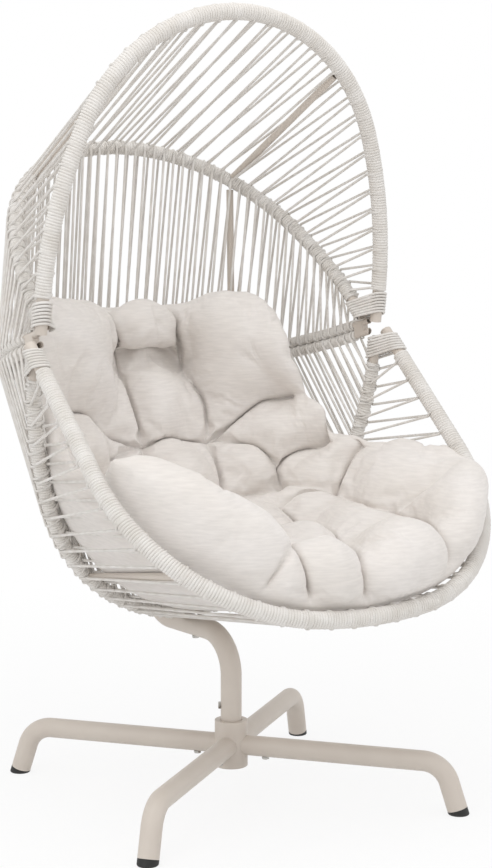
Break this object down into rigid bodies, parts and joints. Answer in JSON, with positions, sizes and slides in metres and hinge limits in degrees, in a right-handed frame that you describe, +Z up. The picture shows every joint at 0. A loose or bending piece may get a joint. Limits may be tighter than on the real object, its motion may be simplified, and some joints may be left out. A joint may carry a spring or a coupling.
{
  "type": "swivel garden armchair",
  "caption": "Egg-shaped garden armchair with a rope-strung hood and basket and a tufted cushion, turning on a bent tube post over a crossed foot.",
  "frame": {"origin": "on the floor, under the swivel axis and in the middle of the circle of feet", "axes": "+Z up along the swivel axis, -Y the way the sitter faces at rest, +X to the sitter's left"},
  "size_m": [0.8892, 0.9821, 1.5524],
  "materials": {
    "frame_paint": "satin",
    "rope": "matte",
    "cushion_cover": "matte",
    "foot_plastic": "matte",
    "bearing_plastic": "matte",
    "zinc_steel": "satin"
  },
  "bodies": {
    "base": {"foot_plug_1": "foot_plastic", "foot_plug_2": "foot_plastic", "foot_plug_3": "foot_plastic", "foot_plug_4": "foot_plastic", "hub": "frame_paint", "hub_cap": "frame_paint", "hub_collar": "frame_paint", "leg_1": "frame_paint", "leg_2": "frame_paint", "leg_3": "frame_paint", "leg_4": "frame_paint", "leg_bolts": "zinc_steel", "leg_nuts": "zinc_steel", "lower_bush": "bearing_plastic", "thrust_washer": "bearing_plastic", "upper_bush": "bearing_plastic"},
    "seat": {"basket_back_cords": "rope", "basket_back_rib_left": "frame_paint", "basket_back_rib_right": "frame_paint", "basket_lashings": "rope", "basket_rail": "frame_paint", "basket_rail_binding": "rope", "basket_rim": "frame_paint", "basket_rim_binding": "rope", "cushion": "cushion_cover", "hood_back_cords": "rope", "hood_back_rib_left": "frame_paint", "hood_back_rib_right": "frame_paint", "hood_lashings": "rope", "hood_rail": "frame_paint", "hood_rail_binding": "rope", "hood_rim": "frame_paint", "hood_rim_binding": "rope", "lower_hoop": "frame_paint", "lower_hoop_binding": "rope", "post_screw": "zinc_steel", "rail_bolts": "zinc_steel", "rail_nuts": "zinc_steel", "rail_spacers": "frame_paint", "rear_arch": "frame_paint", "rear_arch_binding": "rope", "roof_cords": "rope", "roof_rib_left": "frame_paint", "roof_rib_right": "frame_paint", "seat_cords": "rope", "seat_rib_left": "frame_paint", "seat_rib_right": "frame_paint", "seat_spine": "frame_paint", "spindle": "zinc_steel", "spindle_screw": "zinc_steel", "spindle_washer": "zinc_steel", "spine_nut": "zinc_steel", "spine_screw": "zinc_steel", "swivel_post": "frame_paint"}
  },
  "joints": [
    {"name": "swivel", "type": "hinge", "parent": "base", "child": "seat", "pos_m": [0, 0, 0.14], "axis": [0, 0, 1], "continuous": true}
  ]
}
